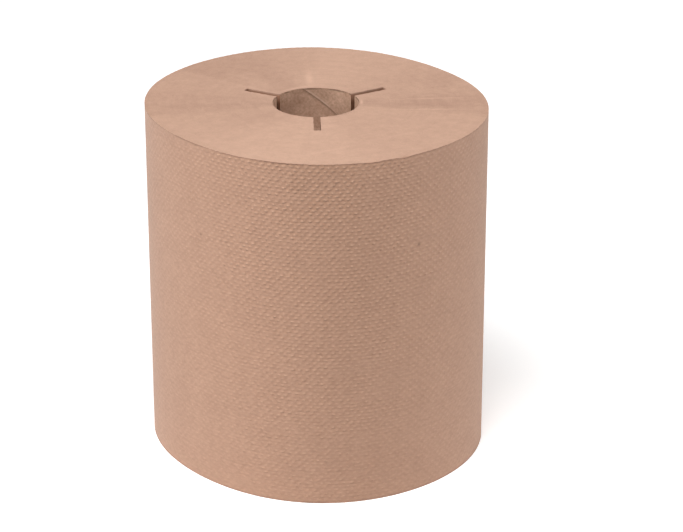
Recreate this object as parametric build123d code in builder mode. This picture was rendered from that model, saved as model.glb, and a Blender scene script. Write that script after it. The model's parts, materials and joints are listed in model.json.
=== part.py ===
from build123d import *
import os
from math import cos, radians, sin

# Hard-wound paper towel roll, standing on its plain end with its notched end up.
# Origin at the middle of the bottom end, +Z along the core, the front notch towards -Y.

# Roll, in millimetres and degrees
web_width = 203.0
roll_diameter = 193.0
out_of_round = 3.0
flattening = 0.9
long_diameter_angle = -50.0
sheet_thickness = 0.2
tail_angle = 100.0

# Paperboard core
core_bore_diameter = 48.9
core_wall = 1.6

# Drive notches, cut through the core and the first turns
notch_count = 3
notch_width = 4.0
notch_reach = 21.5
notch_depth = 22.0
front_notch_angle = -89.0

# Turns that show as grooves in the notched end
turn_lines = 8
turn_line_width = 0.6
turn_line_depth = 0.3

# Sizes that follow
bore_radius = core_bore_diameter / 2
winding_radius = bore_radius + core_wall
paper_depth = roll_diameter / 2 - winding_radius
turn_line_spacing = paper_depth / (turn_lines + 1)
notch_tip_radius = bore_radius + notch_reach
top_end = Plane.XY.offset(web_width)

# Points along the last turn, from the sheet that it covers to its free edge
tail_points = 25


def half_diameter(height, angle):
    """Half diameter of the turn at a height over the core, at an angle from the long diameter.

    A slumped turn is an oval, pressed flat at the ends of its two diameters. The slump grows with
    the height, so the first turn is round and the last one is the least so.
    """
    slump = out_of_round * cos(radians(2 * angle)) - flattening * cos(radians(4 * angle))
    return winding_radius + height + slump * height / paper_depth


def tail_point(share):
    """Point of the last turn: once round in angle while it climbs by one sheet."""
    angle = tail_angle + 360 * share
    height = paper_depth - sheet_thickness * (1 - share)
    radius = half_diameter(height, angle - long_diameter_angle)
    return (radius * cos(radians(angle)), radius * sin(radians(angle)))


def turn_outline(height, mode):
    """Oval outline of the turn at a height over the core, added to the sketch or cut from it."""
    Ellipse(half_diameter(height, 0), half_diameter(height, 90), rotation=long_diameter_angle, mode=mode)


# Outline of the drive notches: radial slots from the axis, one of them facing the front
with BuildSketch(top_end) as drive_notches:
    with PolarLocations(0, notch_count, start_angle=front_notch_angle):
        Rectangle(notch_tip_radius, notch_width, align=(Align.MIN, Align.CENTER))

os.makedirs("parts", exist_ok=True)

# Core: a plain tube as long as the towel is wide, notched at its top end
with BuildPart() as core:
    with BuildSketch():
        Circle(winding_radius)
        Circle(bore_radius, mode=Mode.SUBTRACT)
    extrude(amount=web_width)
    extrude(drive_notches.sketch, amount=-notch_depth, mode=Mode.SUBTRACT)

core.part.label = "core"
export_step(core.part, "parts/core.step")

# Wound towel: all turns as one solid, with the free edge of the last turn as a step at the back
with BuildPart() as wound_towel:
    with BuildSketch():
        with BuildLine():
            last_turn = Spline(*[tail_point(step / (tail_points - 1)) for step in range(tail_points)])
            Line(last_turn @ 1, last_turn @ 0)
        make_face()
        Circle(winding_radius, mode=Mode.SUBTRACT)
    extrude(amount=web_width)

    # The turns in the sawn end: shallow grooves, drawn from the rim inwards
    with BuildSketch(top_end):
        for line in range(turn_lines, 0, -1):
            turn_outline(line * turn_line_spacing + turn_line_width / 2, Mode.ADD)
            turn_outline(line * turn_line_spacing - turn_line_width / 2, Mode.SUBTRACT)
    extrude(amount=-turn_line_depth, mode=Mode.SUBTRACT)
    extrude(drive_notches.sketch, amount=-notch_depth, mode=Mode.SUBTRACT)

wound_towel.part.label = "wound_towel"
export_step(wound_towel.part, "parts/wound_towel.step")
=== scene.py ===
# %% [markdown]
# A hard-wound paper towel roll stands on end. This lesson dresses its CAD model: the solids give the
# places and sizes, and the cells below make the surfaces that one sees, as formulas over whole arrays.
# The model is loaded first, because every piece takes its place from it.

# %% Load the frame
import json

import bpy
import numpy as np
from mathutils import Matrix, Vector


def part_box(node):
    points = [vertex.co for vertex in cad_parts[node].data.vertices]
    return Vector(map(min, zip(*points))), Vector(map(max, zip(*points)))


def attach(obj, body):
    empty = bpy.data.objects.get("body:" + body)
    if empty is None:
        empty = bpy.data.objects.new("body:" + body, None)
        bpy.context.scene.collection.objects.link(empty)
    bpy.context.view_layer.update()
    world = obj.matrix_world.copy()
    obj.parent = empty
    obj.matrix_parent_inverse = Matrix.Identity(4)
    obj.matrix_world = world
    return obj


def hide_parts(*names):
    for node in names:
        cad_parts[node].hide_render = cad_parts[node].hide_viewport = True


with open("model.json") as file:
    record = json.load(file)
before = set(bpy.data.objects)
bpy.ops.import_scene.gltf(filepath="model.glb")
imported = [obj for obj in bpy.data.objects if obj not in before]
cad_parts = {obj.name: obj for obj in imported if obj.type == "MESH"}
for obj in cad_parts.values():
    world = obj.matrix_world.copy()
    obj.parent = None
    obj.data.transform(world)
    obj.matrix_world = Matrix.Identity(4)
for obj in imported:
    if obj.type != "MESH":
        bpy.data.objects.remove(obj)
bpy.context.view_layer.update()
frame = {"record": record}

# %% [markdown]
# The roll has two parts. A paperboard core runs through the middle, and a web of brown paper is wound
# on it. Three notches, cut down from the top end through the core and the first turns, let a
# dispenser's hub turn the roll. All of that is a handful of lengths, here in metres.

# %% Sizes of the roll
MM = 0.001
ROLL_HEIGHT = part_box("wound_towel")[1].z
ROLL_RADIUS = 96.5 * MM
core_mount = next(mount for mount in frame["record"]["mounts"] if mount["name"] == "core_bore")
BORE_RADIUS = core_mount["dims"]["r_mm"] * MM
CORE_WALL = 1.6 * MM
WINDING_RADIUS = BORE_RADIUS + CORE_WALL
PAPER_DEPTH = ROLL_RADIUS - WINDING_RADIUS

NOTCH_COUNT = 3
NOTCH_STEP = 2 * np.pi / NOTCH_COUNT
NOTCH_WIDTH = 4.0 * MM
NOTCH_DEPTH = 22.0 * MM
NOTCH_REACH = 21.5 * MM
NOTCH_TIP_RADIUS = BORE_RADIUS + NOTCH_REACH
NOTCH_FLOOR = ROLL_HEIGHT - NOTCH_DEPTH
FRONT_NOTCH_ANGLE = np.radians(-89)

print(f"roll {2 * ROLL_RADIUS / MM:.1f} mm across and {ROLL_HEIGHT / MM:.1f} mm tall")
print(f"bore {2 * BORE_RADIUS / MM:.1f} mm across")

# %% [markdown]
# Round the core the turns are true circles. Further out the paper has slumped, so the rim is an oval
# that is pressed a little flat at the ends of its two diameters. One formula gives the radius of any
# turn, and its inverse gives the turn that passes through any point of the sawn end.

# %% Turns of the paper
OUT_OF_ROUND = 3.0 * MM
FLATTENING = 0.9 * MM
LONG_DIAMETER_ANGLE = np.radians(-50)
ALL_ROUND = np.linspace(0, 2 * np.pi, 721)


def slump(angle):
    """How far the last turn leaves a circle, with t as the angle from the long diameter.

    It is out of round * cos(2t) - flattening * cos(4t).
    """
    turned = angle - LONG_DIAMETER_ANGLE
    return OUT_OF_ROUND * np.cos(2 * turned) - FLATTENING * np.cos(4 * turned)


def turn_radius(height, angle):
    """Radius of the turn with this height of paper under it: core + height * (1 + slump / depth of paper)."""
    return WINDING_RADIUS + height * (1 + slump(angle) / PAPER_DEPTH)


def turn_height(radius, angle):
    """Height of paper under a point: (radius - core) / (1 + slump / depth of paper)."""
    return (radius - WINDING_RADIUS) / (1 + slump(angle) / PAPER_DEPTH)


def polar(radius, angle, z):
    """Points at a radius, an angle and a height: (radius * cos(angle), radius * sin(angle), height)."""
    x, y, z = np.broadcast_arrays(radius * np.cos(angle), radius * np.sin(angle), z)
    return np.stack([x, y, z], axis=-1)


rim = turn_radius(PAPER_DEPTH, ALL_ROUND)
print(f"rim radius {rim.min() / MM:.1f} to {rim.max() / MM:.1f} mm")

# %% [markdown]
# Every surface here is a grid of points bent into shape. The first helper turns such a grid into quads.
# It only keeps the numbers that a mesh needs, because a piece is made of many such patches. Cells can be
# left out, which is how a notch gets its opening.

# %% A grid becomes a patch


def patch(grid, keep=None, flip=False, finish=0, measure=0.0, uv=(0.0, 0.0)):
    """Quads over a grid of points with rows, columns and 3 coordinates.

    keep picks the cells that stay. A quad's normal is the column step cross the row step, or the
    opposite with flip. measure and uv hold values for the points of the grid: measure is one number
    for the finish, the height of paper under a sawn edge or the strength of an embossed dot.
    """
    rows, columns = grid.shape[:2]
    number = np.arange(rows * columns).reshape(rows, columns)
    cells = np.stack([number[:-1, :-1], number[:-1, 1:], number[1:, 1:], number[1:, :-1]], axis=-1)
    faces = cells.reshape(-1, 4) if keep is None else cells[keep]
    return {
        "points": grid.reshape(-1, 3),
        "faces": faces[:, ::-1] if flip else faces,
        "finish": np.full(len(faces), finish),
        "measure": np.broadcast_to(measure, (rows, columns)).reshape(-1),
        "uv": np.broadcast_to(uv, (rows, columns, 2)).reshape(-1, 2),
    }


print("a grid of 3 by 4 points gives", len(patch(np.zeros((3, 4, 3)))["faces"]), "quads")

# %% [markdown]
# The second helper joins patches. Neighbouring patches repeat the points of the edge that they share,
# and joining welds points that lie at the same place. That closes each piece, and it keeps the maths of
# each surface apart from the others.

# %% Patches are joined
WELD = 1e-6


def join(patches):
    """All patches as one: corner numbers move on by the points before, and points at one place become one."""
    starts = np.cumsum([0] + [len(p["points"]) for p in patches[:-1]])
    whole = {key: np.concatenate([p[key] for p in patches]) for key in patches[0]}
    corners = np.concatenate([p["faces"] + start for p, start in zip(patches, starts)])
    used, corners = np.unique(corners, return_inverse=True)
    points, measure = whole["points"][used], whole["measure"][used]
    corner_uv = whole["uv"][used][corners.reshape(-1)]
    places = np.round(points / WELD).astype(np.int64)
    _, first, welded = np.unique(places, axis=0, return_index=True, return_inverse=True)
    faces = welded.reshape(-1)[corners.reshape(-1, 4)]
    return points[first], faces, whole["finish"], measure[first], corner_uv


print(f"points within {WELD / MM:.3f} mm are welded")

# %% [markdown]
# The third helper makes the mesh from whole arrays, which is far quicker than adding point after point.
# Shading is smooth, except over edges that turn by more than a given angle, such as the rim.

# %% A piece is made
CREASE = np.radians(50)


def add_object(name, data):
    """A new object that holds a mesh, a lamp or a camera, linked into the scene."""
    holder = bpy.data.objects.new(name, data)
    bpy.context.scene.collection.objects.link(holder)
    return holder


def make_piece(name, patches, finishes):
    """One smooth-shaded mesh that rides on the roll, with its UV map and the measure of each point."""
    points, faces, finish, measure, corner_uv = join(patches)
    mesh = bpy.data.meshes.new(name)
    mesh.vertices.add(len(points))
    mesh.vertices.foreach_set("co", points.ravel())
    mesh.loops.add(faces.size)
    mesh.loops.foreach_set("vertex_index", faces.ravel().astype(np.int32))
    mesh.polygons.add(len(faces))
    mesh.polygons.foreach_set("loop_start", np.arange(0, faces.size, 4, dtype=np.int32))
    mesh.update(calc_edges=True)
    for material in finishes:
        mesh.materials.append(material)
    mesh.polygons.foreach_set("material_index", finish.astype(np.int32))
    mesh.polygons.foreach_set("use_smooth", np.ones(len(faces), dtype=bool))
    mesh.uv_layers.new(name="UVMap").data.foreach_set("uv", corner_uv.astype(np.float32).ravel())
    measures = mesh.attributes.new("measure", "FLOAT", "POINT")
    measures.data.foreach_set("value", measure.astype(np.float32))
    mesh.set_sharp_from_angle(angle=CREASE)
    piece = add_object(name, mesh)
    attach(piece, "root")
    print(f"{name}: {len(points)} points, {2 * len(faces)} triangles")
    return piece


print(f"edges of over {np.degrees(CREASE):.0f} degrees stay sharp")

# %% [markdown]
# The notches cut straight through rings of paper and board. A ring of columns that keeps clear of them
# makes this easy: in each third of the ring a few columns run across the notch, parallel to its walls,
# and the rest share out the sector up to the next notch. Removing the first kind opens the notch. The
# saw wandered a little, so each wall moves in and out by up to a tenth of a millimetre on its way.

# %% Columns that follow the notches
rng = np.random.default_rng(11)
SECTOR_COLUMNS = 97
SLOT_COLUMNS = 4
WANDER = 0.1 * MM
WANDER_WAVES = np.array([5.3, 2.1, 1.2]) * MM
wander_phase = rng.uniform(0, 2 * np.pi, (NOTCH_COUNT, 2, len(WANDER_WAVES)))


def wall_offsets(radius):
    """Distance of each notch's two walls from its middle: half the width + a sum of sines of the radius."""
    waves = 2 * np.pi * radius[:, None, None, None] / WANDER_WAVES + wander_phase
    half = NOTCH_WIDTH / 2 + WANDER * np.sin(waves).mean(axis=-1)
    return -half[..., 0], half[..., 1]


def notched_angles(radius, sector_columns):
    """Angles of a closed ring of columns at each radius.

    Across a notch the columns lie at its angle + arcsine(distance from its middle / radius). From its
    far wall to the near wall of the next notch they step evenly in angle.
    """
    radius = np.atleast_1d(radius)
    period = SLOT_COLUMNS + sector_columns
    column = np.arange(NOTCH_COUNT * period + 1)
    notch, step = column // period, column % period
    this, following = notch % NOTCH_COUNT, (notch + 1) % NOTCH_COUNT
    near_walls, far_walls = wall_offsets(radius)
    near, far, after = near_walls[:, this], far_walls[:, this], near_walls[:, following]
    middle = FRONT_NOTCH_ANGLE + NOTCH_STEP * notch
    across = near + (far - near) * np.minimum(step / SLOT_COLUMNS, 1)
    first = middle + np.arcsin(across / radius[:, None])
    last = middle + NOTCH_STEP + np.arcsin(after / radius[:, None])
    return first + (last - first) * np.maximum(step - SLOT_COLUMNS, 0) / sector_columns


def slot_cells(sector_columns):
    """True for the cells of such a ring that lie across a notch."""
    period = SLOT_COLUMNS + sector_columns
    return np.arange(NOTCH_COUNT * period) % period < SLOT_COLUMNS


def notch_columns(sector_columns):
    """For each notch of such a ring: the column of its near wall, that of its far wall, and all across it."""
    period = SLOT_COLUMNS + sector_columns
    walls = [(near, near + SLOT_COLUMNS) for near in range(0, NOTCH_COUNT * period, period)]
    return [(near, far, slice(near, far + 1)) for near, far in walls]


ring = np.degrees(notched_angles(WINDING_RADIUS, SECTOR_COLUMNS))[0]
print(f"{len(ring)} columns from {ring[0]:.1f} to {ring[-1]:.1f} degrees")

# %% [markdown]
# Finishes come next. A paper's colour is never one flat value: it is mottled where the pulp lay thicker,
# and it carries darker fibres and flecks. All patterns are worked out from the object's own coordinates
# or from the winding, so they stay on the paper from any side. Small helpers keep the node code short.

# %% Node helpers


def add_node(tree, kind, inputs=None, **settings):
    """Adds a shader node. inputs gives each socket a value or an output to link."""
    node = tree.nodes.new("ShaderNode" + kind)
    for name, value in settings.items():
        setattr(node, name, value)
    for key, value in (inputs or {}).items():
        if isinstance(value, bpy.types.NodeSocket):
            tree.links.new(value, node.inputs[key])
        else:
            node.inputs[key].default_value = value
    return node


def calculate(tree, operation, first, second=0.0, third=0.0):
    """One Math node, such as MULTIPLY or MULTIPLY_ADD, and its result."""
    return add_node(tree, "Math", {0: first, 1: second, 2: third}, operation=operation).outputs[0]


def times(tree, first, second):
    """The product of two values."""
    return calculate(tree, "MULTIPLY", first, second)


def reckon(tree, operation, first, second=(0, 0, 0), result="Vector"):
    """One VectorMath node, such as SUBTRACT or DOT_PRODUCT, and its result, a Vector or a Value."""
    return add_node(tree, "VectorMath", {0: first, 1: second}, operation=operation).outputs[result]


def split(tree, vector):
    """The three numbers of a vector."""
    return add_node(tree, "SeparateXYZ", {0: vector}).outputs


def ease(tree, value, low, high, to_low=0.0, to_high=1.0):
    """A value from low to high, eased onto another range and held at its ends."""
    inputs = {"Value": value, "From Min": low, "From Max": high, "To Min": to_low, "To Max": to_high}
    return add_node(tree, "MapRange", inputs, interpolation_type="SMOOTHSTEP").outputs[0]


def noise(tree, scale, detail=2.0, roughness=0.5, **source):
    """Noise about 0, mostly from -0.3 to 0.3, on a Vector, or on one number given as W."""
    dimensions = "1D" if "W" in source else "3D"
    sockets = {"Scale": scale, "Detail": detail, "Roughness": roughness, **source}
    texture = add_node(tree, "TexNoise", sockets, noise_dimensions=dimensions)
    return calculate(tree, "SUBTRACT", texture.outputs[0], 0.5)


def weigh(tree, start, *terms):
    """A start value plus the sum of the terms, each a value and its weight."""
    total = start
    for value, weight in terms:
        total = calculate(tree, "MULTIPLY_ADD", value, weight, total)
    return total


def spot(tree, first, second):
    """A soft spot: exp(-first^2 - second^2), where both are distances over half sizes."""
    square = times(tree, first, first)
    both = calculate(tree, "MULTIPLY_ADD", second, second, square)
    return calculate(tree, "EXPONENT", times(tree, both, -1.0))


print("a soft spot falls to", round(float(np.exp(-1)), 2), "at its half size")

# %% [markdown]
# A finish needs three more things: colours, relief and a material to hold them. Colours are written as
# one reads them off a screen, and a helper makes them linear, as shaders want them. Each finish ends by
# linking its colour and its relief to the main shader.

# %% Colour, relief and material


def srgb(red, green, blue):
    """A colour in screen values from 0 to 255, made linear by the curve of the sRGB standard."""
    value = np.array([red, green, blue]) / 255
    linear = np.where(value <= 0.04045, value / 12.92, ((value + 0.055) / 1.055) ** 2.4)
    return (*linear, 1.0)


def tint(tree, factor, colour, other):
    """Mixes two colours by a factor from 0 to 1. The node's colour sockets are the numbers 6 and 7."""
    sockets = {0: factor, 6: colour, 7: other}
    return add_node(tree, "Mix", sockets, data_type="RGBA", clamp_factor=True).outputs[2]


def bump(tree, height, strength, distance, normal=None):
    """Relief too fine for the mesh, laid over an earlier one if normal is given."""
    sockets = {"Height": height, "Strength": strength, "Distance": distance}
    if normal is not None:
        sockets["Normal"] = normal
    return add_node(tree, "Bump", sockets).outputs[0]


def new_finish(name, roughness, specular):
    """A material with its tree, its main shader and its texture coordinates."""
    material = bpy.data.materials.new(name)
    material.use_nodes = True
    tree = material.node_tree
    main = next(node for node in tree.nodes if node.type == "BSDF_PRINCIPLED")
    main.inputs["Roughness"].default_value = roughness
    main.inputs["Specular IOR Level"].default_value = specular
    return material, tree, main, add_node(tree, "TexCoord")


def complete(material, main, colour, normal):
    """Links a colour and a relief to the main shader of a finish."""
    tree = material.node_tree
    tree.links.new(colour, main.inputs["Base Color"])
    tree.links.new(normal, main.inputs["Normal"])
    print(f"finish {material.name}: {len(tree.nodes)} nodes")
    return material


print("a mid brown in linear values:", [round(float(v), 3) for v in srgb(194, 155, 132)])

# %% [markdown]
# The towel's face is embossed: rows of small oval dots, each row half a pitch along from the last. The
# dots are real bumps in the mesh, made further down. The finish adds what is finer than the mesh: the
# dot's narrow crown and the fibres of the paper. The dots are counted in the piece's UV map, so that
# paint and mesh agree.

# %% Dots in the finish
DOTS_AROUND = 151
DOT_ROWS = 99
DOT_HALF_WIDTH = 0.3
DOT_HALF_HEIGHT = 0.39
CROWN_SHARE = 0.74


def measured(tree):
    """The number that the mesh carries at each point as its measure."""
    return add_node(tree, "Attribute", attribute_name="measure").outputs["Fac"]


def dot_pattern(tree, place):
    """Dots from the UV map, which counts pitches along and rows up: a soft spot at the row's nearest dot.

    Odd rows lie half a pitch along. Each dot has the strength that the mesh carries as its measure.
    """
    pitches, rows, _ = split(tree, place.outputs["UV"])
    row = calculate(tree, "ROUND", rows)
    rise = calculate(tree, "SUBTRACT", rows, row)
    shift = times(tree, calculate(tree, "FLOORED_MODULO", row, 2.0), 0.5)
    along = calculate(tree, "SUBTRACT", pitches, shift)
    side = calculate(tree, "SUBTRACT", along, calculate(tree, "ROUND", along))
    sideways = times(tree, side, 1 / (CROWN_SHARE * DOT_HALF_WIDTH))
    upwards = times(tree, rise, 1 / (CROWN_SHARE * DOT_HALF_HEIGHT))
    return times(tree, spot(tree, sideways, upwards), measured(tree))


pitch = 2 * np.pi * ROLL_RADIUS / DOTS_AROUND
print(f"dots {pitch / MM:.2f} mm apart in rows {ROLL_HEIGHT / DOT_ROWS / MM:.2f} mm apart")

# %% [markdown]
# Brown towel is made from unbleached pulp, so a few dark specks of bark or ink stay in it. They could come
# from a noise with a high threshold, but then they would fall anywhere. Here each is placed by its angle
# round the roll, its height in millimetres, its half size and its strength. The last one is wide and
# faint: a stain under the rim.

# %% Specks in the pulp
SPECKS = [
    (-133.1, 150.7, 0.7, 0.5), (-55.6, 150.0, 0.9, 0.6), (-66.2, 132.0, 0.5, 0.5), (-122.5, 137.0, 0.6, 0.3),
    (-24.0, 188.0, 0.5, 0.35), (-31.0, 138.0, 0.5, 0.3), (-99.0, 88.0, 0.4, 0.3), (35.0, 70.0, 0.7, 0.5),
    (68.0, 161.0, 0.5, 0.4), (121.0, 43.0, 0.8, 0.5), (160.0, 118.0, 0.5, 0.4), (-95.0, 190.5, 5.0, 0.1),
]


def specks(tree, place):
    """Sum of the specks, each a soft ball: strength * exp(-(distance / half size)^2)."""
    total = 0.0
    for degrees, rise, half_size, strength in SPECKS:
        angle = np.radians(degrees)
        centre = polar(turn_radius(PAPER_DEPTH, angle), angle, rise * MM)
        away = reckon(tree, "DISTANCE", place, centre, result="Value")
        reach = times(tree, away, 1 / (half_size * MM))
        total = weigh(tree, total, (spot(tree, reach, 0.0), strength))
    return total


print(len(SPECKS) - 1, "specks and a stain")

# %% [markdown]
# The paper is mottled by its pulp, creased by the press and roughened by its fibres. Noises give that. The
# one for the fine creases works in the UV map, so it follows the web. The UV map also serves as the ruler
# for the dark edge lines: a thin, ragged, darker line runs along the top and the bottom, and at the foot
# it is painted shadow. Crowns are painted a shade paler, as a painted highlight, and the ground between
# crisp dots is painted browner, as painted shade. The whole face is also painted a little paler towards
# the foot, as painted light from the floor.

# %% Embossed paper
PAPER_PALE = srgb(203, 163, 139)
PAPER_DARK = srgb(170, 133, 112)
# Painted shade in the hollows between the dots.
VALLEY_SHADE = srgb(186, 136, 100)
# A darker line along both edges; at the foot it is painted shadow.
DARK_EDGE_LINE = srgb(122, 86, 67)
SPECK = srgb(96, 66, 48)
FUZZ = 0.15
CLOUDS = dict(scale=70.0, detail=3.0)
CREASES_PER_DOT = (1.0, 1.2, 0.0)
GRAIN = dict(scale=1.0, detail=3.0, roughness=0.7)
FIBRES = dict(scale=1500.0, detail=2.0)
PAPER_TONE = 0.55
# Painted light from the floor: the face is painted paler towards the foot.
FOOT_BOUNCE_LIGHT = 0.16
CLOUDS_SHARE = 0.35
GRAIN_SHARE = 1.2
FIBRES_SHARE = 0.3
PAINTED_CROWN_HIGHLIGHT = 0.55
VALLEY_SHADE_SHARE = 0.16
EDGE_LINE_START = 0.5
EDGE_LINE_FULL = 0.15
EDGE_LINE_RAGGED = 1.5
EDGE_LINE_PATCHES = dict(low=-0.15, high=0.15, to_low=0.1, to_high=0.5)
CROWN_RELIEF = dict(strength=1.0, distance=0.55 * MM)
GRAIN_RELIEF = dict(strength=0.5, distance=0.35 * MM)


def dark_edge_line(tree, rows_up, ragged):
    """1 at both edges of the web and 0 from half a row of dots inwards, with a ragged border."""
    from_middle = calculate(tree, "ABSOLUTE", calculate(tree, "SUBTRACT", rows_up, DOT_ROWS / 2))
    reach = weigh(tree, from_middle, (ragged, EDGE_LINE_RAGGED))
    return ease(tree, reach, DOT_ROWS / 2 - EDGE_LINE_START, DOT_ROWS / 2 - EDGE_LINE_FULL)


def embossed_paper():
    """Towel paper seen on its face: mottled pulp, painted highlights on the crowns, painted shade between
    them, specks and fine fibre relief.
    """
    material, tree, main, place = new_finish("embossed_paper", roughness=0.9, specular=0.2)
    main.inputs["Sheen Weight"].default_value = FUZZ
    here = place.outputs["Object"]
    dots = dot_pattern(tree, place)
    rows_up = split(tree, place.outputs["UV"])[1]
    clouds = noise(tree, Vector=here, **CLOUDS)
    grain = noise(tree, Vector=reckon(tree, "MULTIPLY", place.outputs["UV"], CREASES_PER_DOT), **GRAIN)
    fibres = noise(tree, Vector=here, **FIBRES)
    # The tone is painted paler towards the foot: painted light bounced from the floor.
    tone = weigh(tree, PAPER_TONE, (rows_up, -FOOT_BOUNCE_LIGHT / DOT_ROWS), (clouds, CLOUDS_SHARE))
    # The crowns of the dots are painted paler: a painted highlight where the light catches them.
    tone = weigh(tree, tone, (grain, GRAIN_SHARE), (fibres, FIBRES_SHARE), (dots, PAINTED_CROWN_HIGHLIGHT))
    colour = tint(tree, tone, PAPER_DARK, PAPER_PALE)
    # The ground between the dots is painted browner: painted shade in the hollows.
    valley_shade = calculate(tree, "SUBTRACT", measured(tree), dots)
    colour = tint(tree, times(tree, valley_shade, VALLEY_SHADE_SHARE), colour, VALLEY_SHADE)
    # A thin darker line along the top and the bottom edges; at the foot it is painted shadow.
    patchy = ease(tree, clouds, **EDGE_LINE_PATCHES)
    edge_line = times(tree, dark_edge_line(tree, rows_up, grain), patchy)
    colour = tint(tree, edge_line, colour, DARK_EDGE_LINE)
    colour = tint(tree, specks(tree, here), colour, SPECK)
    crowns = bump(tree, dots, **CROWN_RELIEF)
    return complete(material, main, colour, bump(tree, grain, normal=crowns, **GRAIN_RELIEF))


EMBOSSED = embossed_paper()

# %% [markdown]
# The ends are sawn through the whole log of paper, so one sees hundreds of paper edges side by side. From
# a step away they blur into a smooth face. Their fine turns reflect the light unevenly round the end, like
# the grooves of a record, in fans of slightly different tone, with a clear edge between some of them.
# These fans are painted sheen: a colour ramp over the angle draws them, and each entry is an angle in
# degrees and a tone from 0, dark, to 1, pale.

# %% Fans of the sawn end
SHEEN_FANS = [
    (-180, 0.3), (-177, 0.22), (-169, 0.3), (-164, 0.6), (-142, 0.62), (-112, 0.88), (-95, 0.88),
    (-80, 0.82), (-64, 0.61), (-36, 0.61), (-15, 0.66), (-11, 0.35), (8, 0.25), (13, 0.48), (37, 0.5),
    (52, 0.6), (68, 0.72), (84, 0.8), (97, 0.56), (112, 0.38), (116, 0.24), (143, 0.19), (146, 0.48),
    (158, 0.45), (172, 0.35), (180, 0.3),
]


def turns_round(tree, place, start=0.0):
    """Angle of a point round the roll's axis, as a share of a full turn, less the start."""
    x, y, _ = split(tree, place)
    return calculate(tree, "MULTIPLY_ADD", calculate(tree, "ARCTAN2", y, x), 1 / (2 * np.pi), -start)


def sheen_fan_tone(tree, place):
    """Painted sheen of the fans at a point: its share of a turn, from half a turn back, looks up the ramp."""
    ramp = add_node(tree, "ValToRGB", {0: turns_round(tree, place, start=-0.5)})
    stops = ramp.color_ramp.elements
    for degrees, _ in SHEEN_FANS[1:-1]:
        stops.new((degrees + 180) / 360)
    for stop, (_, tone) in zip(stops, SHEEN_FANS):
        stop.color = (tone, tone, tone, 1)
    return ramp.outputs[0]


sheen_fan_tones = [tone for _, tone in SHEEN_FANS]
print(f"{len(SHEEN_FANS)} stops for the fans, tones {min(sheen_fan_tones)} to {max(sheen_fan_tones)}")

# %% [markdown]
# Handling has left straight marks on the end: some on the right where something was dragged across, and
# scuffs near the front. The table also holds painted light: a pale glint behind the bore, and broad soft
# spots, paler or darker, that are painted sheen and shape the fans. Each is a long soft spot, placed by
# its middle in millimetres, its direction in degrees, its half length and half width, and how much paler
# it makes the paper. The marks could be modelled, but they have no depth that one could see.

# %% Marks of handling and painted glints
MARKS_AND_GLINTS = [
    (66, -12, 0, 20, 0.6, 0.6), (64, 6, 4, 22, 0.8, 0.5), (64, -4, 0, 20, 5.0, -0.22),
    (-4, 42, 92, 12, 2.0, 0.6), (10, -75, 30, 16, 1.2, 0.25), (48, -52, 28, 14, 1.4, 0.2),
    (-12.8, 23.2, 30, 9, 1.0, 0.6), (25.7, 0, 90, 4, 0.8, 0.9), (-27, -23, -8, 30, 12, -0.25),
    (-36, 33, 121, 20, 9, 0.4), (-5, 38, 92, 14, 6, 0.25), (73, 34, 60, 12, 8, -0.3),
]


def mark_and_glint_tone(tree, place):
    """Sum over the marks and glints of strength * a soft spot of the distances along and across."""
    total = 0.0
    for x, y, heading, half_length, half_width, strength in MARKS_AND_GLINTS:
        turn = np.radians(heading)
        ahead = (np.cos(turn) / (half_length * MM), np.sin(turn) / (half_length * MM), 0)
        aside = (-np.sin(turn) / (half_width * MM), np.cos(turn) / (half_width * MM), 0)
        offset = reckon(tree, "SUBTRACT", place, (x * MM, y * MM, 0))
        along = reckon(tree, "DOT_PRODUCT", offset, ahead, result="Value")
        across = reckon(tree, "DOT_PRODUCT", offset, aside, result="Value")
        total = weigh(tree, total, (spot(tree, along, across), strength))
    return total


longest = 2 * max(half_length for _, _, _, half_length, _, _ in MARKS_AND_GLINTS)
print(len(MARKS_AND_GLINTS), "marks, the longest", longest, "mm")

# %% [markdown]
# Down in the notches little light gets there, so the colour deepens below the end as painted shade, first
# in the top millimetre and then further down.

# %% Depth in the notches
DEEP_FROM = ROLL_HEIGHT - 0.3 * MM
DEEP_BY = ROLL_HEIGHT - 1.2 * MM
DEEPEST_FROM = ROLL_HEIGHT - 1.5 * MM
DEEPEST_BY = ROLL_HEIGHT - 6.0 * MM
NOTCH_MARGIN = 1.0 * MM


def depth_in_notch(tree, z, start, full):
    """0 on both ends and 1 in the notches: eased in from start down to full, and only above their floor."""
    below_end = ease(tree, z, full, start, 1.0, 0.0)
    above_floor = calculate(tree, "GREATER_THAN", z, NOTCH_FLOOR - NOTCH_MARGIN)
    return times(tree, below_end, above_floor)


print(f"notches are at their darkest from {(ROLL_HEIGHT - DEEPEST_BY) / MM:.0f} mm down")

# %% [markdown]
# Now the parts come together: the painted sheen of the fans with faint rays in them, soft bands and fine
# lines that follow the winding, blotches, the nap of the cut fibres, and the marks and painted glints. The
# height of paper under a point, which the mesh carries as its measure, tells the turn that it belongs to.

# %% Sawn paper
SAWN_PALE = srgb(228, 187, 162)
SAWN_DARK = srgb(178, 140, 120)
# Painted shade in the notches: near the end, and deeper down.
NOTCH_SHADE = srgb(176, 132, 107)
NOTCH_DEEP_SHADE = srgb(122, 84, 62)
SAWN_TONE = 0.19
SHEEN_FANS_SHARE = 0.55
MARKS_AND_GLINTS_SHARE = 0.5
RAYS = dict(scale=9.0, detail=3.0, roughness=0.6)
RAYS_SHARE = 0.15
BANDS = dict(scale=120.0, detail=4.0)
BANDS_SHARE = 0.12
BLOTCHES = dict(scale=200.0, detail=4.0, roughness=0.7)
BLOTCHES_SHARE = 0.55
FINE_TURNS = dict(scale=2600.0, detail=2.0)
TURNS_SHARE = 0.16
NAP = dict(scale=1300.0, detail=3.0, roughness=0.6)
NAP_SHARE = 0.5
SAWN_RELIEF = dict(strength=0.3, distance=0.08 * MM)


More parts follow.
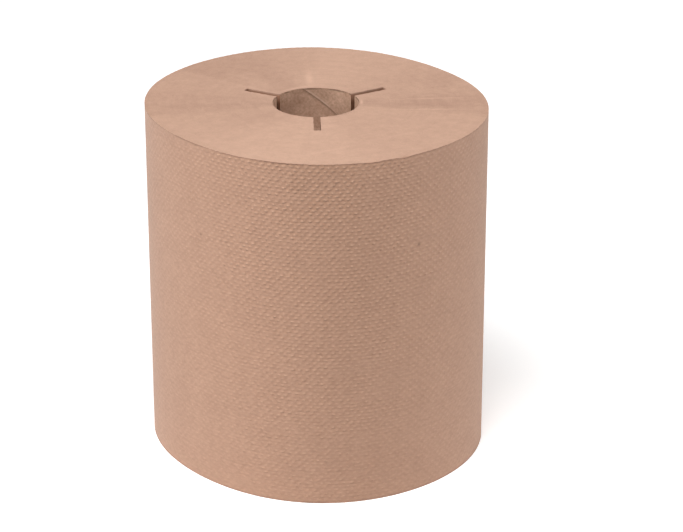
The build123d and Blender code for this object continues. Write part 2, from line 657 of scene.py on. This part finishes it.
def sawn_paper():
    """Turn edges: fans of painted sheen, rings of the winding, marks, a painted glint, painted shade and nap.
    """
    material, tree, main, place = new_finish("sawn_paper", roughness=0.85, specular=0.3)
    here = place.outputs["Object"]
    winding = measured(tree)
    heading = reckon(tree, "NORMALIZE", reckon(tree, "MULTIPLY", here, (1, 1, 0)))
    rays = noise(tree, Vector=heading, **RAYS)
    bands = noise(tree, W=winding, **BANDS)
    blotches = noise(tree, Vector=here, **BLOTCHES)
    turns = noise(tree, W=winding, **FINE_TURNS)
    nap = noise(tree, Vector=here, **NAP)
    # The fans are painted sheen, and the marks include a painted glint and patches of painted sheen.
    tone = weigh(tree, SAWN_TONE, (sheen_fan_tone(tree, here), SHEEN_FANS_SHARE), (mark_and_glint_tone(tree, here), MARKS_AND_GLINTS_SHARE))
    tone = weigh(tree, tone, (rays, RAYS_SHARE), (bands, BANDS_SHARE), (blotches, BLOTCHES_SHARE))
    tone = weigh(tree, tone, (turns, TURNS_SHARE), (nap, NAP_SHARE))
    colour = tint(tree, tone, SAWN_DARK, SAWN_PALE)
    z = split(tree, here)[2]
    # Deeper in the notches the colour darkens: painted shade.
    colour = tint(tree, depth_in_notch(tree, z, DEEP_FROM, DEEP_BY), colour, NOTCH_SHADE)
    colour = tint(tree, depth_in_notch(tree, z, DEEPEST_FROM, DEEPEST_BY), colour, NOTCH_DEEP_SHADE)
    rings = bump(tree, turns, **SAWN_RELIEF)
    return complete(material, main, colour, bump(tree, nap, normal=rings, **SAWN_RELIEF))


SAWN_END = sawn_paper()

# %% [markdown]
# The core is grey-brown board, wound as a spiral from strips. Its fibres run along the strip, so the
# finish works in the strip's own coordinates: how far a point is along the strip, and how far across it,
# from seam to seam. An image laid round the tube would do too, but a spiral is one line of sums.

# %% Place on the strip
SEAM_LEAD = 117.0 * MM
SEAM_TOP_TURN = 0.299


def strip_place(tree, place):
    """Place on the spiral strip: across = fraction of (rise / lead - turns), along = whole part + turns."""
    turns = turns_round(tree, place, start=SEAM_TOP_TURN)
    z = split(tree, place)[2]
    rise = calculate(tree, "MULTIPLY_ADD", z, 1 / SEAM_LEAD, -ROLL_HEIGHT / SEAM_LEAD)
    strips = calculate(tree, "SUBTRACT", rise, turns)
    across = calculate(tree, "FRACT", strips)
    along = calculate(tree, "ADD", calculate(tree, "FLOOR", strips), turns)
    return across, along


print(f"the seam climbs {SEAM_LEAD / MM:.0f} mm in a turn, {ROLL_HEIGHT / SEAM_LEAD:.2f} turns in all")

# %% [markdown]
# At the seam the upper strip has a torn edge, clearest near the end: it is paler partly from its torn
# fibres and partly from a painted highlight where it catches the light, and the lower strip lies in its
# painted shadow. A broken line of painted shadow runs under the lip of the bore, and further down the
# board is painted a little darker, as painted shade deep in the bore. All of these are tints over the
# fibres. The step at the seam itself is in the mesh.

# %% Core board
BOARD_PALE = srgb(226, 189, 164)
BOARD_DARK = srgb(170, 130, 105)
BOARD_SHADE = srgb(100, 68, 48)
# Pale torn edge at the seam, partly a painted highlight.
TORN_LIT_EDGE = srgb(236, 203, 180)
STREAKS_ACROSS = 30.0
STREAKS = dict(scale=5.0, detail=5.0, roughness=0.65)
BOARD_CLOUDS = dict(scale=130.0, detail=4.0, roughness=0.6)
BOARD_FUZZ = dict(scale=700.0, detail=3.0, roughness=0.6)
BOARD_TONE = 0.58
STREAKS_SHARE = 0.5
BOARD_CLOUDS_SHARE = 1.0
BOARD_FUZZ_SHARE = 1.3
BORE_SHADE = dict(low=ROLL_HEIGHT - 45.0 * MM, high=ROLL_HEIGHT - 20.0 * MM, to_low=-0.25, to_high=0.0)
TORN_AND_LIT_FADE = dict(low=ROLL_HEIGHT - 18.0 * MM, high=ROLL_HEIGHT - 7.0 * MM, to_low=0.15, to_high=0.8)
LIP_SHADOW = dict(low=ROLL_HEIGHT - 1.3 * MM, high=ROLL_HEIGHT - 0.6 * MM, to_low=0.0, to_high=0.6)
SEAM_AND_LIP_PATCHES = dict(low=-0.1, high=0.1)
SEAM_RAGGED = 0.01
SEAM_LINE = 0.015
SEAM_SHADOW = dict(low=1 - 0.018, high=1.0, to_low=0.0, to_high=0.45)
STREAKS_RELIEF = dict(strength=0.4, distance=0.15 * MM)
FUZZ_RELIEF = dict(strength=0.5, distance=0.12 * MM)


def core_board():
    """Paperboard: fibres along the strip, a pale torn edge with painted highlight, painted shadow and shade,
    fuzz.
    """
    material, tree, main, place = new_finish("core_board", roughness=0.95, specular=0.2)
    here = place.outputs["Object"]
    z = split(tree, here)[2]
    across, along = strip_place(tree, here)
    drawn_out = {0: times(tree, across, STREAKS_ACROSS), 1: along}
    streaks = noise(tree, Vector=add_node(tree, "CombineXYZ", drawn_out).outputs[0], **STREAKS)
    clouds = noise(tree, Vector=here, **BOARD_CLOUDS)
    fuzz = noise(tree, Vector=here, **BOARD_FUZZ)
    # The board is painted darker further down the bore: painted shade.
    tone = weigh(tree, BOARD_TONE, (ease(tree, z, **BORE_SHADE), 1.0), (streaks, STREAKS_SHARE))
    tone = weigh(tree, tone, (clouds, BOARD_CLOUDS_SHARE), (fuzz, BOARD_FUZZ_SHARE))
    colour = tint(tree, tone, BOARD_DARK, BOARD_PALE)
    patchy = ease(tree, clouds, **SEAM_AND_LIP_PATCHES)
    from_seam = weigh(tree, across, (clouds, SEAM_RAGGED))
    # The pale edge at the seam is partly torn fibres and partly a painted highlight.
    torn_and_lit = ease(tree, from_seam, SEAM_LINE / 2, SEAM_LINE, ease(tree, z, **TORN_AND_LIT_FADE), 0.0)
    colour = tint(tree, times(tree, torn_and_lit, patchy), colour, TORN_LIT_EDGE)
    # Painted shadow under the lip of the bore and beside the seam.
    lip_shadow = times(tree, patchy, ease(tree, z, **LIP_SHADOW))
    shade = calculate(tree, "MAXIMUM", ease(tree, from_seam, **SEAM_SHADOW), lip_shadow)
    colour = tint(tree, shade, colour, BOARD_SHADE)
    hairs = bump(tree, streaks, **STREAKS_RELIEF)
    return complete(material, main, colour, bump(tree, fuzz, normal=hairs, **FUZZ_RELIEF))


BOARD_FINISH = core_board()

# %% [markdown]
# The rim isn't quite level. It wavers by a tenth of a millimetre all round, and near the front two short
# stretches of the last turns have sagged. Each sag has an angle and a half width in degrees, and a depth
# in millimetres. The last turn and the sawn end both use this drop, so they stay together at the edge.

# %% Drop of the rim
SAGS = [(-72.6, 2.6, 0.6), (-61.0, 2.0, 0.65), (-118, 5.0, 0.15), (171, 4.0, 0.15)]
RIM_WAVER = 0.1 * MM
RIM_WAVES = np.array([5, 9, 16, 31, 67, 113])
rim_phase = rng.uniform(0, 2 * np.pi, len(RIM_WAVES))


def bell(angle, degrees, half_width):
    """A bell curve over the angle: exp(-(degrees away / half width)^2), by the shorter way round."""
    away = np.degrees(np.angle(np.exp(1j * (angle - np.radians(degrees)))))
    return np.exp(-((away / half_width) ** 2))


def rim_drop(angle):
    """Drop of the rim: a sum of cosines round the roll, and a bell curve for each sag."""
    waves = np.cos(angle[..., None] * RIM_WAVES + rim_phase)
    drop = RIM_WAVER * (1 - waves.mean(axis=-1))
    for degrees, half_width, depth in SAGS:
        drop = drop + depth * MM * bell(angle, degrees, half_width)
    return drop


print(f"the rim drops by up to {rim_drop(ALL_ROUND).max() / MM:.2f} mm")

# %% [markdown]
# Dots differ in strength, as the paper took the embossing unevenly: crisp at the front and at the back,
# faint at the sides and towards the foot, and in patches. A slanting fold near the top pushed some of
# them up. So every dot first gets a number in a table.

# %% Strength of the dots
CRISP_STRETCHES = [(-85, 46), (105, 45)]
FAINT = 0.08
FOOT_SHARE = 0.38
PATCH_REACH = 2
PATCHINESS = 0.2
DOT_SHARES = (0.75, 1.25)
STRONGEST = 1.3
FOLD_START = np.array([-87.5, 186.0])
FOLD_END = np.array([-95.0, 171.0])
FOLD_WIDTH = 1.6
FOLD_LIFT = 0.6
TAIL_ANGLE = np.radians(100)


def crispness(angle, z):
    """How well the sheet took the embossing: a bell curve at each crisp stretch, fainter towards the foot."""
    crisp = sum(bell(angle, degrees, half_width) for degrees, half_width in CRISP_STRETCHES)
    return (FAINT + (1 - FAINT) * crisp) * (FOOT_SHARE + (1 - FOOT_SHARE) * z / ROLL_HEIGHT)


def patches_of_strength(shape):
    """Random values in patches: white noise, summed over the dots around each and scaled back."""
    white = rng.uniform(-1, 1, shape)
    steps = range(-PATCH_REACH, PATCH_REACH + 1)
    return sum(np.roll(white, (up, along), axis=(0, 1)) for up in steps for along in steps) / len(steps)


def fold_lift(angle, z):
    """Extra strength along the fold: lift * exp(-(distance to its line / width)^2).

    Angles in degrees become millimetres along the unrolled side, so the distance is in millimetres.
    """
    unroll = np.array([np.radians(ROLL_RADIUS / MM), 1.0])
    start, way = FOLD_START * unroll, (FOLD_END - FOLD_START) * unroll
    turned = np.degrees(np.angle(np.exp(1j * angle)))
    rel = np.stack([turned, z / MM], axis=-1) * unroll - start
    share = np.clip(rel @ way / (way @ way), 0, 1)
    away = np.linalg.norm(rel - share[..., None] * way, axis=-1)
    return FOLD_LIFT * np.exp(-((away / FOLD_WIDTH) ** 2))


def dot_strengths():
    """A strength for each dot: crispness * patches * a random share, and more on the fold."""
    row, dot = np.meshgrid(np.arange(DOT_ROWS + 2), np.arange(DOTS_AROUND + 2), indexing="ij")
    angle = TAIL_ANGLE + 2 * np.pi * (dot + 0.5 * (row % 2)) / DOTS_AROUND
    z = ROLL_HEIGHT * row / DOT_ROWS
    uneven = 1 + PATCHINESS * patches_of_strength(row.shape)
    strength = crispness(angle, z) * uneven * rng.uniform(*DOT_SHARES, row.shape)
    return np.clip(strength + fold_lift(angle, z), 0, STRONGEST)


strengths = dot_strengths()
print(f"{strengths.size} dots, strengths {strengths.min():.2f} to {strengths.max():.2f}")

# %% [markdown]
# The dots could be a bump texture on a smooth tube, but they catch the light, so they are bumps in the
# mesh. Each is a soft spot, as high as its number in the table says. The press wasn't perfect: rows and
# dots stray a little from their lines, which keeps the pattern from looking printed.

# %% Relief of the dots
EMBOSS = 0.25 * MM
MEAN_EMBOSS = 0.3
STRAY = 0.08
STRAY_WAVES_ALONG = np.array([4.7, 8.3, -6.1, 17.0])
STRAY_WAVES_UP = np.array([6.3, -9.1, 13.0, 4.9])


def stray(along, up):
    """Rows and dots out of line: both places move by a mean of sines of (along / wave + up / wave)."""
    phase = 2 * np.pi * (along[..., None] / STRAY_WAVES_ALONG + up[..., None] / STRAY_WAVES_UP)
    moved_along = along + STRAY * np.sin(phase).mean(axis=-1)
    moved_up = up + STRAY * np.cos(phase).mean(axis=-1)
    return moved_along, moved_up


def strength_at(along, row):
    """Strength of the dot nearest to a place along a row: the table's entry at the rounded place."""
    return strengths[row.astype(int), np.round(along - 0.5 * (row % 2)).astype(int)]


def emboss_height(along, up):
    """Relief: the nearest dot's strength * exp(-side^2 - rise^2), summed over the rows below and above."""
    total = np.zeros_like(along)
    for row in (np.floor(up), np.floor(up) + 1):
        shift = 0.5 * (row % 2)
        side = (along - shift - np.round(along - shift)) / DOT_HALF_WIDTH
        rise = (up - row) / DOT_HALF_HEIGHT
        total += strength_at(along, row) * np.exp(-(side**2) - rise**2)
    return total


print(f"a dot of strength 1 is {EMBOSS / MM:.2f} mm high")

# %% [markdown]
# The last turn is the sheet that one sees all round. Its grid has four columns to a pitch and three rows
# to a row of dots. That puts a point on every crown and on the slopes between, where smooth shading needs
# them. The relief goes in and out about its mean, so the roll keeps its size. The sheet climbs by its own
# thickness in one turn, which leaves the free edge of the web as a fine step down the back. It is made as
# two bands, one above the other, so that neither mesh grows heavy. Each band is closed: an embossed
# outside, a plain inside against the turns below, and edges at its top and bottom.

# %% The last turn
SHEET = 0.2 * MM
TAIL_STEP = 0.1 * MM / ROLL_RADIUS
COLUMNS_PER_PITCH = 4
ROWS_PER_DOT = 3
SAG_REACH = 5.0 * MM
BAND = 2 * SHEET + EMBOSS


def last_turn():
    """Spiral sheet: radius of the last turn, less one sheet at its start, plus the relief about its mean."""
    columns = np.arange(DOTS_AROUND * COLUMNS_PER_PITCH + 1) / COLUMNS_PER_PITCH
    along, up = np.meshgrid(columns, np.arange(DOT_ROWS * ROWS_PER_DOT + 1) / ROWS_PER_DOT)
    share = along / DOTS_AROUND
    angle = TAIL_ANGLE + (2 * np.pi - TAIL_STEP) * share
    z = ROLL_HEIGHT * up / DOT_ROWS
    z = z - rim_drop(angle) * np.clip(1 - (ROLL_HEIGHT - z) / SAG_REACH, 0, 1)
    along, up = stray(along, up)
    relief = EMBOSS * (emboss_height(along, up) - MEAN_EMBOSS)
    face = polar(turn_radius(PAPER_DEPTH - SHEET * (1 - share), angle) + relief, angle, z)
    back = polar(turn_radius(PAPER_DEPTH - BAND, angle), angle, z)
    return face, back, np.stack([along, up], axis=-1), strength_at(along, np.round(up))


def sheet_band(name, rows, face, back, uv, strength):
    """A closed band of some rows of the sheet. The web's free edge joins its last column to its first."""
    closed = np.append(np.arange(face.shape[1]), 0)
    face, back, uv = (grid[rows][:, closed] for grid in (face, back, uv))
    edge = np.stack([np.full(len(closed), PAPER_DEPTH), np.full(len(closed), PAPER_DEPTH - BAND)])
    patches = [
        patch(face, uv=uv, measure=strength[rows][:, closed]),
        patch(back[[0, -1]], flip=True, uv=uv[[0, -1]]),
        patch(np.stack([face[-1], back[-1]]), finish=1, measure=edge),
        patch(np.stack([face[0], back[0]]), finish=1, measure=edge, flip=True),
    ]
    band = make_piece(name, patches, [EMBOSSED, SAWN_END])


sheet = last_turn()
HALF_WAY = DOT_ROWS * ROWS_PER_DOT // 2
sheet_band("last_turn_lower", slice(0, HALF_WAY + 1), *sheet)
sheet_band("last_turn_upper", slice(HALF_WAY, None), *sheet)

# %% [markdown]
# Under the last turn lies the body of the roll: everything that the saw has cut. Its top is a grid of
# rings. Up to the tips of the notches the rings are circles, and from there they pass over to the oval
# rim. Where the winding was interrupted, the turns stand a little lower and show as soft rings.

# %% The sawn end as a grid
NOTCH_ROWS = 36
RIM_ROWS = 84
TURN_LINES = 8
LINE_DEPTH = 0.14 * MM
LINE_HALF_WIDTH = 1.0 * MM
UNEVEN = 0.06 * MM
UNEVEN_STEP = 1.6 * MM
uneven_turns = rng.uniform(0, 1, int(PAPER_DEPTH / UNEVEN_STEP) + 2)


def sunken_turns(height):
    """Drop of the sawn end: a bell curve at each evenly spaced line, and a random drop turn by turn."""
    spacing = PAPER_DEPTH / (TURN_LINES + 1)
    nearest = spacing * np.clip(np.round(height / spacing), 1, TURN_LINES)
    lines = LINE_DEPTH * np.exp(-(((height - nearest) / LINE_HALF_WIDTH) ** 2))
    return lines + UNEVEN * np.interp(height / UNEVEN_STEP, np.arange(len(uneven_turns)), uneven_turns)


def sawn_grid():
    """Points of the sawn end and the height of paper under each, ring by ring from the core outwards.

    The radius is the circle's + the share of the way past the tips * (rim - circle), and the height
    is the roll's, less the sunken turns and the drop of the rim.
    """
    notch_reach = np.linspace(WINDING_RADIUS, NOTCH_TIP_RADIUS, NOTCH_ROWS + 1)
    rim_reach = np.linspace(NOTCH_TIP_RADIUS, ROLL_RADIUS - BAND, RIM_ROWS + 1)
    reach = np.concatenate([notch_reach, rim_reach[1:]])
    angle = notched_angles(reach, SECTOR_COLUMNS)
    past_tip = np.maximum(reach - NOTCH_TIP_RADIUS, 0)[:, None] / (rim_reach[-1] - NOTCH_TIP_RADIUS)
    edge = turn_radius(PAPER_DEPTH - BAND, angle)
    circle = np.minimum(reach, NOTCH_TIP_RADIUS)[:, None]
    radius = circle + past_tip * (edge - circle)
    height = turn_height(radius, angle)
    near_rim = np.clip(1 - (PAPER_DEPTH - height) / SAG_REACH, 0, 1)
    flat_edge = np.clip((PAPER_DEPTH - BAND - height) / UNEVEN_STEP, 0, 1)
    z = ROLL_HEIGHT - sunken_turns(height) * flat_edge - rim_drop(angle) * near_rim
    return polar(radius, angle, z), height


top, top_winding = sawn_grid()
print(f"sawn end: {top.shape[0]} rings of {top.shape[1] - 1} columns")
print(f"its lowest point is {(ROLL_HEIGHT - top[..., 2].min()) / MM:.2f} mm down")

# %% [markdown]
# The body closes with walls. Each wall of a notch hangs from an edge of the sawn end and stands on the
# notch's floor, so it is a blend of those two edges. The bore's wall and the bottom end follow the same
# columns, and every patch meets the next at the same points.

# %% The body of the roll
WALL_LEVELS = 6
LEVELS = np.linspace(0, 1, WALL_LEVELS)[:, None, None]
BOTTOM_STRIDE = 10


def at_height(points, z):
    """The same points, moved straight up or down to a height."""
    return np.concatenate([points[..., :2], np.broadcast_to(z, points.shape[:-1])[..., None]], axis=-1)


def hang(edge):
    """A wall from the floor of the notches up to an edge: floor + level * (edge - floor)."""
    floor = at_height(edge, NOTCH_FLOOR)
    return floor + LEVELS * (edge - floor)


def wound_paper():
    """The sawn end with its notches, their walls and floors, the bore, the bottom end and the outside."""
    slot = slot_cells(SECTOR_COLUMNS)
    tip = NOTCH_ROWS + 1
    open_rows = np.arange(len(top) - 1) < NOTCH_ROWS
    bottom = at_height(top[::BOTTOM_STRIDE], 0.0)
    bore = np.stack([at_height(top[0], 0.0), at_height(top[0], NOTCH_FLOOR)])
    patches = [
        patch(top, keep=~(open_rows[:, None] & slot), flip=True, measure=top_winding),
        patch(bottom, measure=top_winding[::BOTTOM_STRIDE]),
        patch(bore, flip=True),
        patch(hang(top[0]), keep=np.broadcast_to(~slot, (WALL_LEVELS - 1, len(slot))), flip=True),
        patch(np.stack([at_height(top[-1], 0.0), top[-1]]), measure=PAPER_DEPTH),
    ]
    for near, far, across in notch_columns(SECTOR_COLUMNS):
        patches += [
            patch(hang(top[:tip, near]), flip=True, measure=top_winding[:tip, near]),
            patch(hang(top[:tip, far]), measure=top_winding[:tip, far]),
            patch(hang(top[NOTCH_ROWS, across]), flip=True, measure=top_winding[NOTCH_ROWS, across]),
            patch(at_height(top[:tip, across], NOTCH_FLOOR), flip=True, measure=top_winding[:tip, across]),
        ]
    return make_piece("wound_paper", patches, [SAWN_END])


body = wound_paper()
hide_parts("wound_towel")

# %% [markdown]
# The core's tube has an inner wall and an outer wall. The strip that it was wound from is thinner at one
# edge, so the inner wall steps back just below the seam and eases out again over the next stretch. The
# step could be a cut in the mesh, but a formula of the place on the strip gives it without new edges.

# %% Walls of the core
CORE_SECTOR = 84
CORE_ROWS_BELOW = 72
CORE_ROWS_ABOVE = 32
SEAM_RECESS = 0.15 * MM
SEAM_EASE = 0.1


def seam_recess(angle, z):
    """Depth of the step at the seam: deepest just below it, and easing out as exp(-distance / ease)."""
    strips = (z - ROLL_HEIGHT) / SEAM_LEAD - angle / (2 * np.pi) + SEAM_TOP_TURN
    return SEAM_RECESS * np.exp((strips % 1 - 1) / SEAM_EASE)


def core_walls():
    """Grids of the inner wall, at the bore's radius + the seam's recess, and of the round outer wall."""
    below = np.linspace(0, NOTCH_FLOOR, CORE_ROWS_BELOW + 1)
    above = np.linspace(NOTCH_FLOOR, ROLL_HEIGHT, CORE_ROWS_ABOVE + 1)
    z = np.concatenate([below, above[1:]])[:, None]
    angle = notched_angles(BORE_RADIUS, CORE_SECTOR)
    inner = polar(BORE_RADIUS + seam_recess(angle, z), angle, z)
    outer = polar(WINDING_RADIUS, notched_angles(WINDING_RADIUS, CORE_SECTOR), z)
    return inner, outer


inner_wall, outer_wall = core_walls()
print(f"core walls: {inner_wall.shape[0]} rows of {inner_wall.shape[1] - 1} columns")

# %% [markdown]
# The tube closes as the body did: rims at both ends, and walls and floors in the notches, each a few rows
# of points from the inner wall to the outer one. What the saw has cut gets the sawn finish, and only the
# two walls show the face of the board.

# %% The core
CORE_WALL_STEPS = np.array([0.0, 0.12, 0.35, 1.0])


def between(inner, outer):
    """Points through the wall, as rows from an inner edge to an outer one: inner + step * (outer - inner)."""
    return inner + CORE_WALL_STEPS[:, None, None] * (outer - inner)


def core_tube(inner, outer):
    """Both walls without the notches, the rims at the two ends, and the walls and floors of the notches."""
    slot = slot_cells(CORE_SECTOR)
    floor = CORE_ROWS_BELOW
    above = np.arange(len(inner) - 1) >= floor
    kept = ~(above[:, None] & slot)
    rim_cells = np.broadcast_to(~slot, (len(CORE_WALL_STEPS) - 1, len(slot)))
    patches = [
        patch(inner, keep=kept, flip=True),
        patch(outer, keep=kept),
        patch(between(inner[-1], outer[-1]), keep=rim_cells, flip=True, finish=1),
        patch(between(inner[0], outer[0]), finish=1),
    ]
    for near, far, across in notch_columns(CORE_SECTOR):
        patches += [
            patch(between(inner[floor:, near], outer[floor:, near]), finish=1),
            patch(between(inner[floor:, far], outer[floor:, far]), flip=True, finish=1),
            patch(between(inner[floor, across], outer[floor, across]), flip=True, finish=1),
        ]
    return make_piece("core_tube", patches, [BOARD_FINISH, SAWN_END])


core = core_tube(inner_wall, outer_wall)
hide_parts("core")

# %% [markdown]
# The roll stands on a plain pale floor. The floor should look white and still hold the roll's soft
# shadow, so its finish adds a little glow for the rays that come from the camera, on top of a white
# that takes the light as any surface does. The world is white to the camera, and dim to the roll.

# %% Floor and world
FLOOR_HALF = 4.0
FLOOR_DROP = 0.1 * MM
FLOOR_WHITE = (0.95, 0.95, 0.95, 1.0)
FLOOR_GLOW = 0.42
WHITE = (1, 1, 1, 1)
WORLD_LIGHT = 0.02


def seen_directly(tree):
    """1 for rays from the camera, a mirror or glass, and 0 for rays that carry light."""
    path = add_node(tree, "LightPath")
    bent = calculate(tree, "MAXIMUM", path.outputs["Is Glossy Ray"], path.outputs["Is Transmission Ray"])
    return calculate(tree, "MAXIMUM", path.outputs["Is Camera Ray"], bent)


def pale_floor():
    """A large square just under the roll: half its width * each corner's signs, less the drop."""
    corners = FLOOR_HALF * np.array([[-1, -1, 0], [1, -1, 0], [1, 1, 0], [-1, 1, 0]]) - [0, 0, FLOOR_DROP]
    mesh = bpy.data.meshes.new("floor")
    mesh.from_pydata(corners.tolist(), [], [[0, 1, 2, 3]])
    material, tree, main, _ = new_finish("floor_white", roughness=1.0, specular=0.0)
    main.inputs["Base Color"].default_value = FLOOR_WHITE
    main.inputs["Emission Color"].default_value = WHITE
    glow = times(tree, seen_directly(tree), FLOOR_GLOW)
    tree.links.new(glow, main.inputs["Emission Strength"])
    mesh.materials.append(material)
    floor = add_object("floor", mesh)


def white_world():
    """Full white where it is seen, and a weaker even light elsewhere."""
    world = bpy.data.worlds.new("studio")
    world.use_nodes = True
    tree = world.node_tree
    background = next(node for node in tree.nodes if node.type == "BACKGROUND")
    background.inputs["Color"].default_value = WHITE
    strength = ease(tree, seen_directly(tree), 0.0, 1.0, WORLD_LIGHT, 1.0)
    tree.links.new(strength, background.inputs["Strength"])
    bpy.context.scene.world = world


pale_floor()
white_world()
print(f"floor {2 * FLOOR_HALF:.0f} m across, world light {WORLD_LIGHT}")

# %% [markdown]
# Three soft boxes light the roll. The main one hangs high over the camera, a little to the left: it lights
# the sawn end, reaches into the bore and grazes the front, which brings out the dots there. One on the
# left makes that edge the palest, and a low one behind on the right keeps the right edge from going dark.
# Each has a place and a width in metres, and a power in watts.

# %% Soft boxes
SOFT_BOXES = {
    "key_box": ((-0.35, -1.38, 2.75), 1.6, 80.0),
    "left_box": ((-2.93, -0.1, 0.7), 2.0, 49.0),
    "right_box": ((2.86, 0.76, 0.45), 2.0, 59.0),
}
ROLL_MIDDLE = Vector((0, 0, ROLL_HEIGHT / 2))


def turned_towards(place, target):
    """Rotation of a lamp or camera that looks from a place to a target, upright."""
    return (target - place).to_track_quat("-Z", "Y").to_euler()


def soft_box(name, place, size, watts):
    """A square area lamp that faces the roll."""
    lamp = bpy.data.lights.new(name, "AREA")
    lamp.size = size
    lamp.energy = watts
    holder = add_object(name, lamp)
    holder.location = place
    holder.rotation_euler = turned_towards(Vector(place), ROLL_MIDDLE)


for box_name, (box_place, box_size, box_watts) in SOFT_BOXES.items():
    soft_box(box_name, box_place, box_size, box_watts)
print("soft boxes:", ", ".join(SOFT_BOXES))

# %% [markdown]
# The camera stands a step away and a little above, with a long lens. It aims slightly to the right of the
# roll's middle, which puts the roll left of the picture's centre.

# %% Camera
CAMERA_DISTANCE = 1515.8 * MM
CAMERA_ELEVATION = np.radians(23.257)
CAMERA_AIM = ROLL_MIDDLE + Vector((14.4, 0, 1.0)) * MM
CAMERA_LENS = 138.0
SENSOR_WIDTH = 36.0


def picture_camera():
    """Camera at a distance and elevation from the roll's middle, turned to its aim."""
    data = bpy.data.cameras.new("camera")
    data.sensor_width = SENSOR_WIDTH
    data.lens = CAMERA_LENS
    holder = add_object("camera", data)
    away = Vector((0, -np.cos(CAMERA_ELEVATION), np.sin(CAMERA_ELEVATION)))
    holder.location = ROLL_MIDDLE + CAMERA_DISTANCE * away
    holder.rotation_euler = turned_towards(holder.location, CAMERA_AIM)
    bpy.context.scene.camera = holder
    return holder


print("camera at", [round(v, 3) for v in picture_camera().location])

# %% [markdown]
# Colours should come out as they were written, so the picture uses the Standard view.

# %% Finish
bpy.context.scene.view_settings.view_transform = "Standard"
